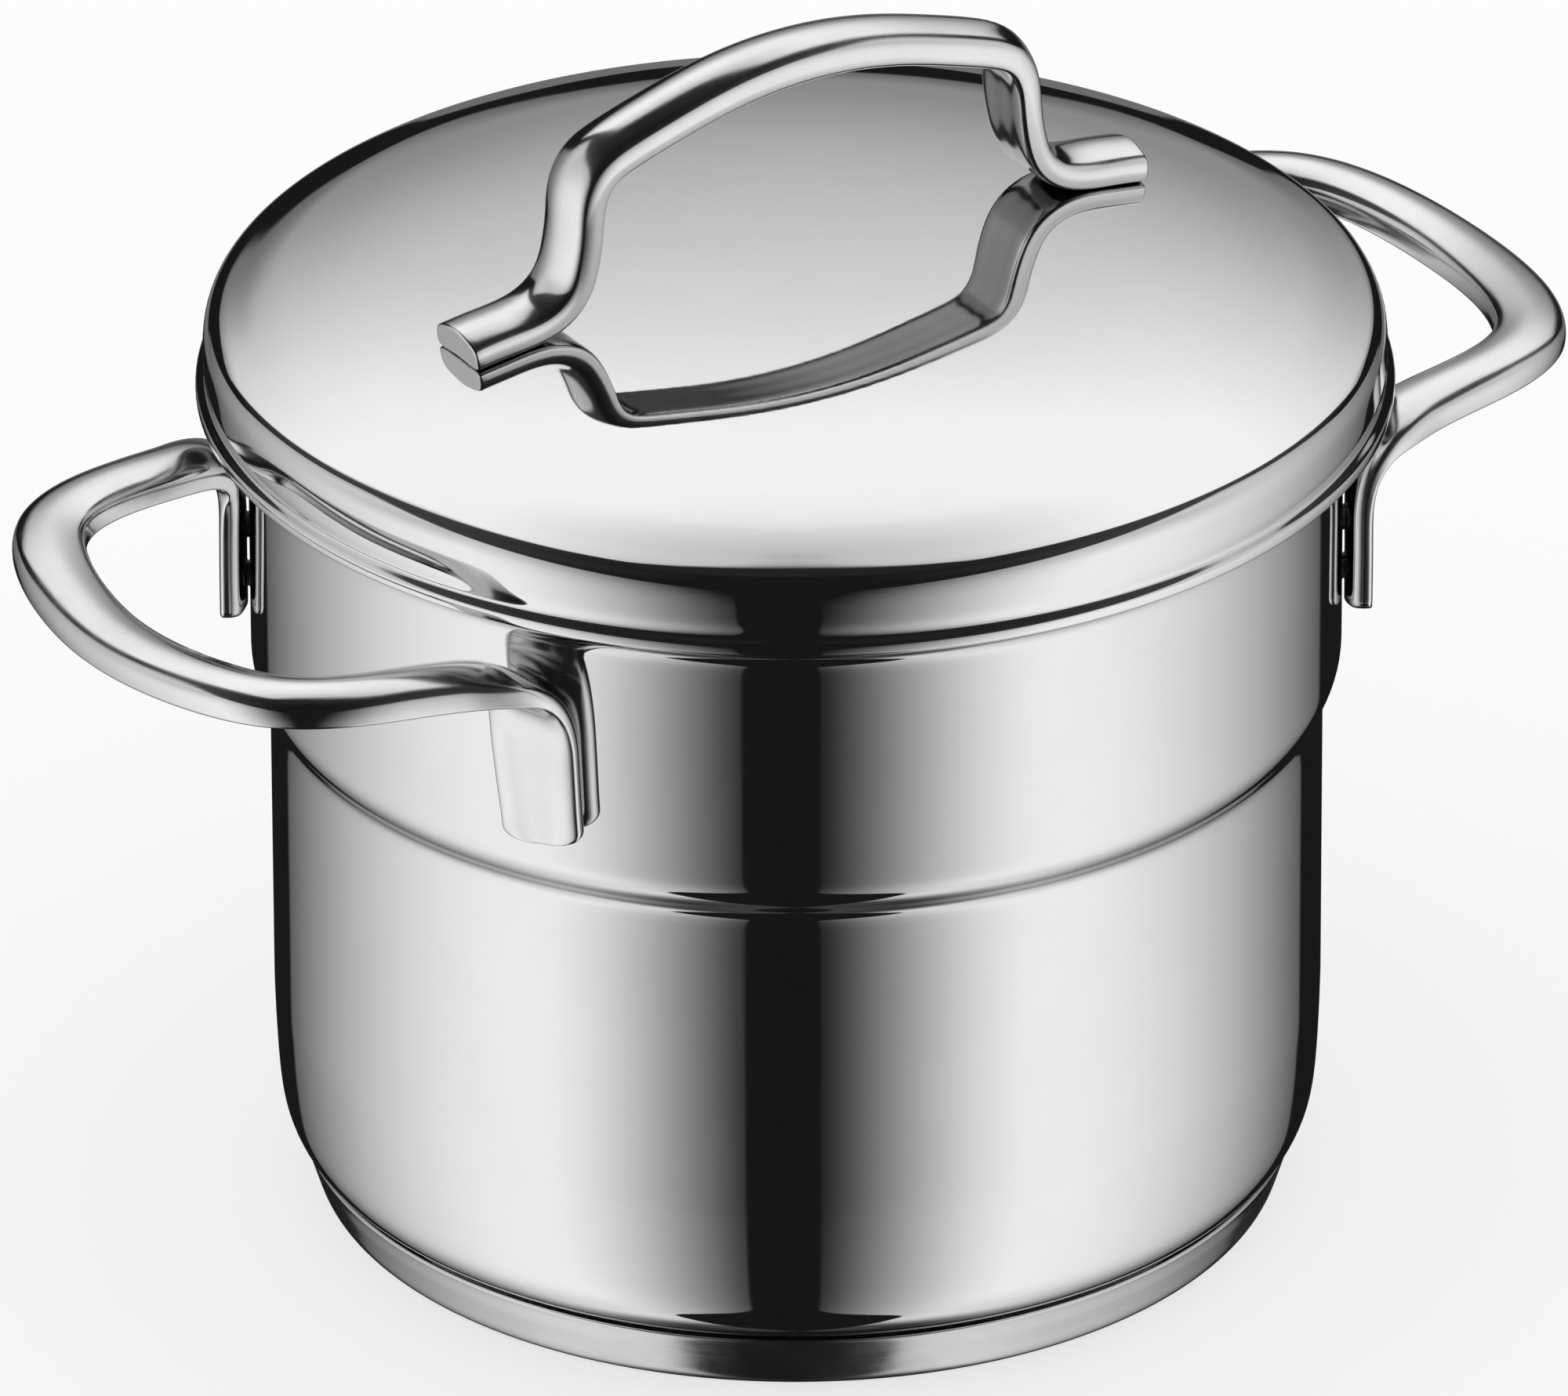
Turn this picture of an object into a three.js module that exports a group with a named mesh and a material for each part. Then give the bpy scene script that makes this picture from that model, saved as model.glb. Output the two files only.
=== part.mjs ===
// Mini stockpot with a loose lid, in millimetres, +Z up.
// The origin is the centre of the face the pot rests on; the side handles lie along X.
import * as THREE from 'three';

// Facets round the pot, and rings along a bent handle
const SEGMENTS = 48;
const SIDE_RINGS = 44;
const LID_RINGS = 38;

// Pot shell
const INNER_RADIUS = 60.0;
const WALL = 0.8;
const UPPER_RADIUS = INNER_RADIUS + WALL;
const STEP_IN = 2.07;
const LOWER_RADIUS = UPPER_RADIUS - STEP_IN;
const STEP_TOP = 66.0;
const STEP_BOTTOM = 60.8;
const CORNER_TOP = 24.0;
const CORNER_WIDTH = 8.2;
const SHELL_BOTTOM = 5.6;
const FLOOR_THICKNESS = 0.9;
const FLARE_START = 93.0;
const LIP_REACH = 4.95;
const LIP_RISE = 4.55;

// Base: a dish set in from the wall, and the disc set in from the dish's foot
const CAP_INSET = 2.68;
const CAP_TAPER = 3.05;
const CAP_OVERLAP = 0.85;
const CAP_THICKNESS = 0.55;
const CORE_INSET = 0.6;
const CORE_GAP = 0.3;

// Lid: its skirt just clears the pot's lip, and its bead hangs a little below the lip's top
const LID_SHEET = 0.8;
const LIP_CLEARANCE = 0.18;
const BEAD_WIDTH = 0.6;
const BEAD_DROP = 0.19;
const SHOULDER_WIDTH = 3.9;
const SHOULDER_HEIGHT = 9.82;
const DOME_RISE = 7.27;

// Side handles: a half-round bar with both ends flattened into upright feet
const FOOT_ANGLE = THREE.MathUtils.degToRad(31.6);
const FOOT_STANDOFF = 0.5;
const FOOT_THICKNESS = 2.8;
const FOOT_WIDTH = 10.4;
const FOOT_ABOVE_STEP = 3.4;
const FOOT_HEIGHT = 19.9;
const BAR_WIDTH = 8.2;
const BAR_THICKNESS = 3.9;
const LOOP_OVERHANG = 27.7;
const LOOP_SAG = 1.2;
const FOOT_WELD_SHARES = [0.18, 0.48];
const FOOT_WELD_RADIUS = 1.9;
const FOOT_WELD_HEIGHT = 0.2;

// Lid handle: the same bar, bent to an arch on two flat feet
const LID_BAR_WIDTH = 7.9;
const LID_FOOT_THICKNESS = 3.3;
const LID_BAR_THICKNESS = 3.8;
const LID_FOOT_STANDOFF = 0.5;
const LID_FOOT_SPREAD = 0.708;
const ARCH_RISE = 24.05;
const LID_WELD_SHARES = [0.86, 0.95];
const LID_WELD_RADIUS = 1.5;
const LID_WELD_HEIGHT = 0.2;

const steel = (color, roughness) => new THREE.MeshStandardMaterial({ color, roughness, metalness: 1.0 });

const part = new THREE.Group();
part.name = 'mini_stockpot';

/** Add one named piece to the object and return it. */
function piece(name, geometry, material, parent = part) {
  const mesh = new THREE.Mesh(geometry, material);
  mesh.name = name;
  parent.add(mesh);
  return mesh;
}

/** Turn a closed (radius, height) outline round the Z axis, outside wall upwards. */
function turned(outline) {
  const points = outline.map(([r, z]) => new THREE.Vector2(r, z));
  return new THREE.LatheGeometry(points, SEGMENTS).rotateX(Math.PI / 2);
}

/** Half-round section: a flat underside, rounded edges and a crowned top. */
function halfRound(width, thickness) {
  const right = [
    [0.38, -0.5], [0.47, -0.36], [0.5, -0.1], [0.475, 0.14], [0.4, 0.31], [0.24, 0.445],
  ];
  const left = right.map(([x, y]) => [-x, y]).reverse();
  return [...right, [0, 0.5], ...left].map(([x, y]) => [x * width, y * thickness]);
}

/**
 * Sweep the half-round bar through stations that carry a centre, a width, a thickness and
 * the direction of the width. The crown faces tangent x width.
 */
function bentBar(stations, rings) {
  const curveThrough = (pick) => {
    const points = stations.map((station, i) => new THREE.Vector3(...pick(station, i)));
    return new THREE.CatmullRomCurve3(points, false, 'catmullrom', 0.5);
  };
  const path = curveThrough((station) => station.at);
  const sizes = curveThrough((station, i) => [station.width, station.thickness, i]);
  const across = curveThrough((station) => station.across);
  const count = halfRound(1, 1).length;
  const last = stations.length - 1;
  const positions = [];
  for (let i = 0; i <= rings; i += 1) {
    const t = stationAt(i / rings, stations) / last;
    const centre = path.getPoint(t);
    const tangent = path.getTangent(t);
    const size = sizes.getPoint(t);
    const crown = new THREE.Vector3().crossVectors(tangent, across.getPoint(t)).normalize();
    const side = new THREE.Vector3().crossVectors(crown, tangent).normalize();
    for (const [x, y] of halfRound(size.x, size.y)) {
      const p = centre.clone().addScaledVector(side, x).addScaledVector(crown, y);
      positions.push(p.x, p.y, p.z);
    }
  }
  const index = [];
  for (let i = 0; i < rings; i += 1) {
    for (let j = 0; j < count; j += 1) {
      const a = i * count + j;
      const b = i * count + ((j + 1) % count);
      index.push(a, b, b + count, a, b + count, a + count);
    }
  }
  for (let j = 1; j < count - 1; j += 1) {
    index.push(0, j + 1, j);
    index.push(rings * count, rings * count + j, rings * count + j + 1);
  }
  const geometry = new THREE.BufferGeometry();
  geometry.setAttribute('position', new THREE.Float32BufferAttribute(positions, 3));
  geometry.setIndex(index);
  geometry.computeVertexNormals();
  return geometry;
}

/** Station number at a share of the bar's whole length, so that rings are evenly spaced. */
function stationAt(share, stations) {
  const lengths = [0];
  for (let i = 1; i < stations.length; i += 1) {
    const a = new THREE.Vector3(...stations[i - 1].at);
    lengths.push(lengths[i - 1] + a.distanceTo(new THREE.Vector3(...stations[i].at)));
  }
  const goal = share * lengths[lengths.length - 1];
  for (let i = 1; i < lengths.length; i += 1) {
    if (goal <= lengths[i]) {
      return i - 1 + (goal - lengths[i - 1]) / (lengths[i] - lengths[i - 1]);
    }
  }
  return stations.length - 1;
}

/** A flat round weld projection whose axis points along a direction. */
function weldSpot(radius, height, centre, direction) {
  const geometry = new THREE.CylinderGeometry(radius, radius, height, 12);
  const turn = new THREE.Quaternion();
  turn.setFromUnitVectors(new THREE.Vector3(0, 1, 0), direction.clone().normalize());
  return geometry.applyQuaternion(turn).translate(centre.x, centre.y, centre.z);
}

// Pot shell: rounded bottom corner, straight wall, S-shaped step, wider band, flared pouring lip
const lipRadius = UPPER_RADIUS + LIP_REACH;
const stepRise = STEP_TOP - STEP_BOTTOM;
const floorZ = SHELL_BOTTOM + FLOOR_THICKNESS;
const step = (radius) => [
  [radius, STEP_BOTTOM],
  [radius + 0.14 * STEP_IN, STEP_BOTTOM + 0.2 * stepRise],
  [radius + 0.46 * STEP_IN, STEP_BOTTOM + 0.37 * stepRise],
  [radius + 0.76 * STEP_IN, STEP_BOTTOM + 0.57 * stepRise],
  [radius + 0.95 * STEP_IN, STEP_BOTTOM + 0.8 * stepRise],
  [radius + STEP_IN, STEP_TOP],
];
/** Points at shares of a width inwards from a radius, and of a rise above a height. */
const shaped = (radius, width, height, rise, shares) => (
  shares.map(([inwards, up]) => [radius - inwards * width, height + up * rise])
);
const cornerRise = CORNER_TOP - SHELL_BOTTOM;
const linerRadius = LOWER_RADIUS - WALL;
const shellOutline = [
  [0, SHELL_BOTTOM],
  ...shaped(LOWER_RADIUS, CORNER_WIDTH, SHELL_BOTTOM, cornerRise, [
    [1, 0], [0.756, 0.008], [0.573, 0.03], [0.427, 0.0625], [0.293, 0.109], [0.195, 0.163],
    [0.122, 0.234], [0.0756, 0.321], [0.045, 0.478], [0.0183, 0.696], [0, 1],
  ]),
  ...step(LOWER_RADIUS),
  ...shaped(UPPER_RADIUS, -LIP_REACH, FLARE_START, LIP_RISE, [
    [0, 0], [0.04, 0.22], [0.162, 0.44], [0.364, 0.615], [0.626, 0.747], [0.9, 0.824],
    [0.99, 0.875], [1, 0.934], [0.96, 0.993], [0.838, 1], [0.566, 0.923], [0.283, 0.769], [0.04, 0.549],
  ]),
  [UPPER_RADIUS - 0.69 * WALL, FLARE_START + 0.286 * LIP_RISE],
  [INNER_RADIUS, FLARE_START],
  ...step(linerRadius).reverse(),
  ...shaped(linerRadius, CORNER_WIDTH, SHELL_BOTTOM, cornerRise, [
    [0, 1], [0.0366, 0.543], [0.0976, 0.321], [0.195, 0.212], [0.354, 0.13], [0.561, 0.076],
  ]),
  [linerRadius - 0.927 * CORNER_WIDTH, floorZ],
  [0, floorZ],
];
piece('pot_body', turned(shellOutline), steel(0xd2d3d3, 0.08));

// Capsule dish under the shell, and the heat-spreading disc closed in between them
const capTop = SHELL_BOTTOM + CAP_OVERLAP;
const capRadius = LOWER_RADIUS - CAP_INSET;
const capFoot = capRadius - CAP_TAPER;
const capOutline = [
  [0, 0],
  ...shaped(capFoot, -CAP_TAPER, 0, capTop, [
    [0, 0], [0.213, 0.0186], [0.377, 0.0853], [0.492, 0.217], [0.59, 0.372], [0.803, 0.69], [1, 0.977],
    [0.934, 1],
  ]),
  ...shaped(capFoot - CAP_THICKNESS, -CAP_TAPER, 0, capTop, [[1, 0.992], [0.803, 0.69], [0.492, 0.271]]),
  [capFoot, CAP_THICKNESS + 0.062 * capTop],
  [capFoot - 2 * CAP_THICKNESS, CAP_THICKNESS],
  [0, CAP_THICKNESS],
];
const coreRadius = capFoot - CORE_INSET;
const coreBottom = CAP_THICKNESS + CORE_GAP;
const coreTop = SHELL_BOTTOM - CORE_GAP;
const coreOutline = [
  [0, coreBottom],
  ...shaped(coreRadius, CORE_INSET, coreBottom, coreTop - coreBottom, [
    [1.67, 0], [0, 0.225], [-0.67, 0.775], [1, 1],
  ]),
  [0, coreTop],
];
piece('base_core', turned(coreOutline), steel(0xbfc1c2, 0.45));
piece('base_cap', turned(capOutline), steel(0xc3c4c5, 0.22));

// Side handles: stations from one foot's lower end, round the loop, to the other foot
const footBottom = STEP_TOP + FOOT_ABOVE_STEP;
const loopZ = footBottom + FOOT_HEIGHT;
const loopReach = UPPER_RADIUS + LOOP_OVERHANG;
const footRadius = UPPER_RADIUS + FOOT_STANDOFF + FOOT_THICKNESS / 2;
const footX = footRadius * Math.cos(FOOT_ANGLE);
const footY = footRadius * Math.sin(FOOT_ANGLE);

/** Station on an upright foot: its share of the foot's height, width and thickness. */
function footStation(height, width, thickness = 1) {
  return {
    at: [footX, footY, footBottom + height * FOOT_HEIGHT],
    width: FOOT_WIDTH * width,
    thickness: FOOT_THICKNESS * thickness,
    across: [-Math.sin(FOOT_ANGLE), Math.cos(FOOT_ANGLE), 0],
  };
}

/**
 * Station on the loop: its share of the reach from foot to tip, its share of the feet's half-spacing,
 * its lift above the tip in shares of the sag, how far the foot has become the bar, and its bearing.
 */
function loopStation(reach, spread, lift, barShare, bearing) {
  const angle = THREE.MathUtils.degToRad(bearing);
  return {
    at: [THREE.MathUtils.lerp(footX, loopReach, reach), footY * spread, loopZ + lift * LOOP_SAG],
    width: THREE.MathUtils.lerp(FOOT_WIDTH, BAR_WIDTH, barShare),
    thickness: THREE.MathUtils.lerp(FOOT_THICKNESS, BAR_THICKNESS, barShare),
    across: [Math.cos(angle), Math.sin(angle), 0],
  };
}

const halfHandle = [
  footStation(0, 0.72, 0.82),
  footStation(0.04, 0.885),
  footStation(0.15, 0.933),
  footStation(0.4, 0.99),
  footStation(0.63, 1),
  loopStation(0.01, 0.998, -3.42, 0.1, 118),
  loopStation(0.046, 0.991, -1.17, 0.3, 110),
  loopStation(0.12, 0.976, 0.33, 0.5, 96),
  loopStation(0.245, 0.948, 0.92, 0.8, 83),
  loopStation(0.45, 0.913, 1, 1, 78),
  loopStation(0.644, 0.852, 1, 1, 67),
  loopStation(0.815, 0.724, 0.92, 1, 47),
  loopStation(0.934, 0.511, 0.67, 1, 25),
  loopStation(0.986, 0.256, 0.25, 1, 10),
];
const mirrored = (station) => ({
  ...station,
  at: [station.at[0], -station.at[1], station.at[2]],
  across: [station.across[0], -station.across[1], 0],
});
const handleStations = [
  ...halfHandle,
  loopStation(1, 0, 0, 1, 0),
  ...halfHandle.map(mirrored).reverse(),
];

for (const [name, turn] of [['right', 0], ['left', Math.PI]]) {
  const side = new THREE.Group();
  side.rotation.z = turn;
  part.add(side);
  piece(`handle_${name}`, bentBar(handleStations, SIDE_RINGS), steel(0xc6c7c8, 0.2), side);
  const weldRadius = UPPER_RADIUS + FOOT_STANDOFF / 2;
  [FOOT_ANGLE, -FOOT_ANGLE].forEach((angle, foot) => {
    const outward = new THREE.Vector3(Math.cos(angle), Math.sin(angle), 0);
    FOOT_WELD_SHARES.forEach((share, level) => {
      const centre = outward.clone().multiplyScalar(weldRadius).setZ(footBottom + share * FOOT_HEIGHT);
      const spot = weldSpot(FOOT_WELD_RADIUS, FOOT_WELD_HEIGHT, centre, outward);
      piece(`handle_${name}_weld_${foot * 2 + level + 1}`, spot, steel(0x77787a, 0.5), side);
    });
  });
}

// Lid: rim bead over the pouring lip, upright skirt, rounded shoulder, shallow dome
const skirtRadius = lipRadius + LIP_CLEARANCE;
const beadRadius = skirtRadius + BEAD_WIDTH;
const beadZ = FLARE_START + LIP_RISE - BEAD_DROP;
const domeRadius = skirtRadius - SHOULDER_WIDTH;
const domeTop = beadZ + SHOULDER_HEIGHT + DOME_RISE;

/** Height of the dome's outside: a shallow bowl that falls away faster near the shoulder. */
function domeHeight(radius) {
  const share = radius / domeRadius;
  return domeTop - DOME_RISE * (0.536 * share ** 2 + 0.464 * share ** 5.3);
}

/** Point of the dome at a share of its radius, on the outside or a sheet's thickness below it. */
const domePoint = (share, below = 0) => [share * domeRadius, domeHeight(share * domeRadius) - below];

/** Points of the lid's edge at shares of a width inwards from a radius and of the shoulder's height. */
const edge = (radius, width, shares) => shaped(radius, width, beadZ, SHOULDER_HEIGHT, shares);
const insideRadius = skirtRadius - LID_SHEET;
const lidOutline = [
  ...[0, 0.39, 0.645, 0.8, 0.94].map((share) => domePoint(share, LID_SHEET)),
  ...edge(insideRadius, SHOULDER_WIDTH, [[0.667, 0.886], [0.231, 0.764], [0.0256, 0.611], [0, 0.234]]),
  ...edge(insideRadius, LID_SHEET, [[0.75, 0.1426], [1, 0.056]]),
  ...edge(skirtRadius, BEAD_WIDTH, [[0.167, 0.0631], [-0.25, 0.0122], [-0.467, 0]]),
  ...edge(beadRadius, BEAD_WIDTH, [[0.133, 0.0102], [0, 0.0305], [0.083, 0.0662], [0.5, 0.112]]),
  ...edge(skirtRadius, BEAD_WIDTH, [[-0.083, 0.163]]),
  ...edge(skirtRadius, SHOULDER_WIDTH, [
    [0, 0.234], [0, 0.407], [0.0462, 0.656], [0.11, 0.737], [0.238, 0.837], [0.397, 0.896], [0.623, 0.939],
  ]),
  ...[1, 0.95, 0.89, 0.81, 0.725, 0.645, 0.53, 0.39, 0.2, 0].map((share) => domePoint(share)),
];
const lid = new THREE.Group();
part.add(lid);
piece('lid_shell', turned(lidOutline), steel(0xd2d3d3, 0.07), lid);

// Lid handle: stations from one foot's end over the arch to the other, in the plane of X and Z
const lidFootZ = (x) => domeHeight(x) + LID_FOOT_STANDOFF + LID_FOOT_THICKNESS / 2;
const lidFootEnd = LID_FOOT_SPREAD * domeRadius;
const lidFootRoot = lidFootZ(0.8 * lidFootEnd);
const archZ = domeTop + ARCH_RISE;

/** Station of the lid handle, in the plane of X and Z. */
function lidStation(x, z, barShare = 1) {
  const thickness = THREE.MathUtils.lerp(LID_FOOT_THICKNESS, LID_BAR_THICKNESS, barShare);
  return { at: [x, 0, z], width: LID_BAR_WIDTH, thickness, across: [0, -1, 0] };
}

/** Station of the arch, at a share of the foot's reach and of the rise from foot to crown. */
function archStation(reach, rise, barShare = 1) {
  return lidStation(reach * lidFootEnd, THREE.MathUtils.lerp(lidFootRoot, archZ, rise), barShare);
}

const halfLidHandle = [
  ...[1, 0.915, 0.835].map((share) => lidStation(share * lidFootEnd, lidFootZ(share * lidFootEnd), 0)),
  archStation(0.768, 0.035, 0.2),
  archStation(0.715, 0.13, 0.4),
  archStation(0.681, 0.26, 0.6),
  archStation(0.658, 0.43, 0.6),
  archStation(0.64, 0.592, 0.8),
  archStation(0.601, 0.716),
  archStation(0.528, 0.794),
  archStation(0.415, 0.866),
  archStation(0.273, 0.94),
  archStation(0.137, 0.987),
];
const lidHandleStations = [
  ...halfLidHandle,
  archStation(0, 1),
  ...halfLidHandle.map((station) => ({ ...station, at: [-station.at[0], 0, station.at[2]] })).reverse(),
];
piece('lid_handle', bentBar(lidHandleStations, LID_RINGS), steel(0xc6c7c8, 0.16), lid);

let lidWeld = 0;
for (const side of [1, -1]) {
  for (const share of LID_WELD_SHARES) {
    lidWeld += 1;
    const reach = share * lidFootEnd;
    const slope = (domeHeight(reach + 1) - domeHeight(reach - 1)) / 2;
    const normal = new THREE.Vector3(-slope * side, 0, 1);
    const centre = new THREE.Vector3(reach * side, 0, domeHeight(reach) + LID_FOOT_STANDOFF / 2);
    const spot = weldSpot(LID_WELD_RADIUS, LID_WELD_HEIGHT, centre, normal);
    piece(`lid_weld_${lidWeld}`, spot, steel(0x77787a, 0.5), lid);
  }
}

export default part;
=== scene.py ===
"""Studio scene of a small steel stockpot with a loose domed lid.

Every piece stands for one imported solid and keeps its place. Sizes in the fields are in millimetres,
angles are in degrees, and meshes are made in metres.
"""

import logging
import math
from collections.abc import Sequence
from dataclasses import dataclass, replace
from enum import Enum
from functools import partial, reduce

import bpy
import numpy as np
from mathutils import Matrix, Vector


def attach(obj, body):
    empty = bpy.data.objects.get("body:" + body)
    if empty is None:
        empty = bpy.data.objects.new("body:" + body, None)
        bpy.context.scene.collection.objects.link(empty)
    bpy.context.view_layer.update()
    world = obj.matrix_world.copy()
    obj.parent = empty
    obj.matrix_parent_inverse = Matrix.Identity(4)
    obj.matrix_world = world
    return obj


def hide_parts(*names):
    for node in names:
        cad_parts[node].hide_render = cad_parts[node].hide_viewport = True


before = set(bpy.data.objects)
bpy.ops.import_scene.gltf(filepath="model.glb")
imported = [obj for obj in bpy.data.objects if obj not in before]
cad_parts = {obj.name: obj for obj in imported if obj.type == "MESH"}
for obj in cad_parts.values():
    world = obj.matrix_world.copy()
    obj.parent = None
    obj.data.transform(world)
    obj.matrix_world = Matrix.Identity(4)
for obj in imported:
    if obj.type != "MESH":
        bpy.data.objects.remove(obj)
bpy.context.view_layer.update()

MM = 0.001
Pair = tuple[float, float]
Outline = list[Pair]
Triple = tuple[float, float, float]
Socket = bpy.types.NodeSocket
log = logging.getLogger("stockpot")


# Curves


def soften(controls: Outline, per_span: int = 4) -> np.ndarray:
    """Follow a control line with a cubic B-spline that keeps its end points.

    Args:
        controls: Points of the control line.
        per_span: Samples in each span between two controls.

    Returns:
        The sampled curve, one point per row.
    """
    points = np.asarray(controls, float)
    padded = np.vstack([2 * points[0] - points[1], points, 2 * points[-1] - points[-2]])
    t = np.linspace(0, 1, per_span, endpoint=False)[:, None]
    weights = ((1 - t) ** 3, 3 * t**3 - 6 * t**2 + 4, -3 * t**3 + 3 * t**2 + 3 * t + 1, t**3)
    spans = [
        sum(weight * padded[i + k] for k, weight in enumerate(weights)) / 6
        for i in range(len(points) - 1)
    ]
    return np.vstack([*spans, points[-1:]])


def straight(start: Pair, end: Pair, margin: float = 0.8) -> Outline:
    """Hold a run straight by a control close to each of its ends.

    Args:
        start: First point of the run.
        end: Last point of the run.
        margin: Distance of the extra controls from the ends.

    Returns:
        The four controls of the run.
    """
    a, b = np.asarray(start, float), np.asarray(end, float)
    step = (b - a) / np.linalg.norm(b - a) * margin
    return [tuple(a), tuple(a + step), tuple(b - step), tuple(b)]


def bend(radius: float, height: float, shape: Outline) -> Outline:
    """Controls of a bend, given as steps outwards and upwards from one place."""
    return [(radius + out, height + up) for out, up in shape]


class Spline:
    """Smooth curve through points, with continuous curvature, measured by chord length."""

    def __init__(self, points: Sequence[Sequence[float]], closed: bool = False) -> None:
        """Solve the curve's second derivatives.

        Args:
            points: Points that the curve passes through.
            closed: Whether the curve returns to its first point.
        """
        values = np.asarray(points, float)
        if closed:
            values = np.vstack([values, values[:1]])
        self.values = values
        gaps = np.linalg.norm(np.diff(values, axis=0), axis=1)
        self.knots = np.concatenate([[0.0], np.cumsum(gaps)])
        slopes = np.diff(values, axis=0) / gaps[:, None]
        count = len(values)
        system = np.zeros((count, count))
        right = np.zeros_like(values)
        for i in range(1, count - 1):
            before, after = gaps[i - 1], gaps[i]
            system[i, i - 1 : i + 2] = before, 2 * (before + after), after
            right[i] = 6 * (slopes[i] - slopes[i - 1])
        if closed:
            before, after = gaps[-1], gaps[0]
            system[0, 0], system[0, -1] = 1, -1
            system[-1, [0, 1, -2, -1]] = 2 * after, after, before, 2 * before
            right[-1] = 6 * (slopes[0] - slopes[-1])
        else:
            system[0, 0] = system[-1, -1] = 1
        self.bends = np.linalg.solve(system, right)

    def at(self, places: np.ndarray, slope: bool = False) -> np.ndarray:
        """Find points of the curve, or its directions there.

        Args:
            places: Distances along the curve.
            slope: Whether to return the first derivative.

        Returns:
            One row per place.
        """
        i = np.clip(np.searchsorted(self.knots, places, side="right") - 1, 0, len(self.knots) - 2)
        gap = (self.knots[i + 1] - self.knots[i])[:, None]
        b = (places - self.knots[i])[:, None] / gap
        a = 1 - b
        low, high = self.values[i], self.values[i + 1]
        low_bend, high_bend = self.bends[i], self.bends[i + 1]
        if slope:
            curved = (3 * b**2 - 1) * high_bend - (3 * a**2 - 1) * low_bend
            return (high - low) / gap + gap / 6 * curved
        return a * low + b * high + gap**2 / 6 * ((a**3 - a) * low_bend + (b**3 - b) * high_bend)


# Meshes


def skin(
    rings: Sequence[Sequence[int]], heights: Sequence[float]
) -> tuple[list[list[int]], Outline]:
    """Join rings of vertices by faces.

    Args:
        rings: Vertex numbers of each ring, with the first one again at its end.
        heights: UV height of each ring.

    Returns:
        The faces, and the UV place of each of their corners.
    """
    faces: list[list[int]] = []
    uvs: Outline = []
    count = len(rings[0]) - 1
    for lower, upper, low, high in zip(rings, rings[1:], heights, heights[1:]):
        for j in range(count):
            quad = (lower[j], lower[j + 1], upper[j + 1], upper[j])
            left, right = j / count, (j + 1) / count
            spots = ((left, low), (right, low), (right, high), (left, high))
            keep = [k for k in range(4) if quad[k] not in quad[:k]]
            faces.append([quad[k] for k in keep])
            uvs.extend(spots[k] for k in keep)
    return faces, uvs


def finished_mesh(
    name: str, corners: Sequence[Triple], faces: Sequence[Sequence[int]], uvs: Outline
) -> bpy.types.Mesh:
    """Make a smooth mesh with one UV layer.

    Args:
        name: Name of the mesh.
        corners: Vertex places in metres.
        faces: Vertex numbers of each face.
        uvs: One UV place per face corner, in face order.

    Returns:
        The new mesh.
    """
    mesh = bpy.data.meshes.new(name)
    mesh.from_pydata(corners, [], faces)
    layer = mesh.uv_layers.new(name="surface")
    layer.data.foreach_set("uv", np.asarray(uvs, np.float32).ravel())
    mesh.polygons.foreach_set("use_smooth", np.ones(len(faces), bool))
    mesh.update()
    return mesh


def turned_mesh(name: str, outline: np.ndarray, segments: int = 192) -> bpy.types.Mesh:
    """Turn a closed outline round the upright axis, with exact normals.

    Args:
        name: Name of the mesh.
        outline: Radius and height of each point in millimetres, outside wall upwards.
        segments: Facets in one turn.

    Returns:
        The smooth mesh in metres.
    """
    steps = np.linalg.norm(np.diff(outline, axis=0), axis=1)
    lengths = np.concatenate([[0.0], np.cumsum(steps)])
    tangent = np.gradient(outline, lengths, axis=0)
    tangent /= np.linalg.norm(tangent, axis=1)[:, None]
    corners: list[Triple] = []
    normals: list[Triple] = []
    rings: list[list[int]] = []
    for (radius, height), (out, up) in zip(outline, tangent):
        first = len(corners)
        if radius < 1e-6:
            corners.append((0.0, 0.0, height * MM))
            normals.append((0.0, 0.0, -math.copysign(1.0, out)))
            rings.append([first] * (segments + 1))
            continue
        for angle in np.linspace(0, 2 * math.pi, segments, endpoint=False):
            c, s = math.cos(angle), math.sin(angle)
            corners.append((radius * c * MM, radius * s * MM, height * MM))
            normals.append((up * c, up * s, -out))
        rings.append([*range(first, first + segments), first])
    mesh = finished_mesh(name, corners, *skin(rings, lengths / lengths[-1]))
    mesh.normals_split_custom_set_from_vertices(normals)
    return mesh


@dataclass(frozen=True)
class Station:
    """One place of a bent bar: its centre, its section's size and the direction of its width."""

    at: Triple
    width: float
    thickness: float
    across: Triple

    def mirrored(self, signs: Triple) -> "Station":
        """The same place on the bar's other half."""
        at, across = (tuple(np.multiply(part, signs)) for part in (self.at, self.across))
        return replace(self, at=at, across=across)


class EndForm(Enum):
    """How the two ends of a bar are finished."""

    TONGUE = "tongue"
    CUT = "cut"


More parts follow.
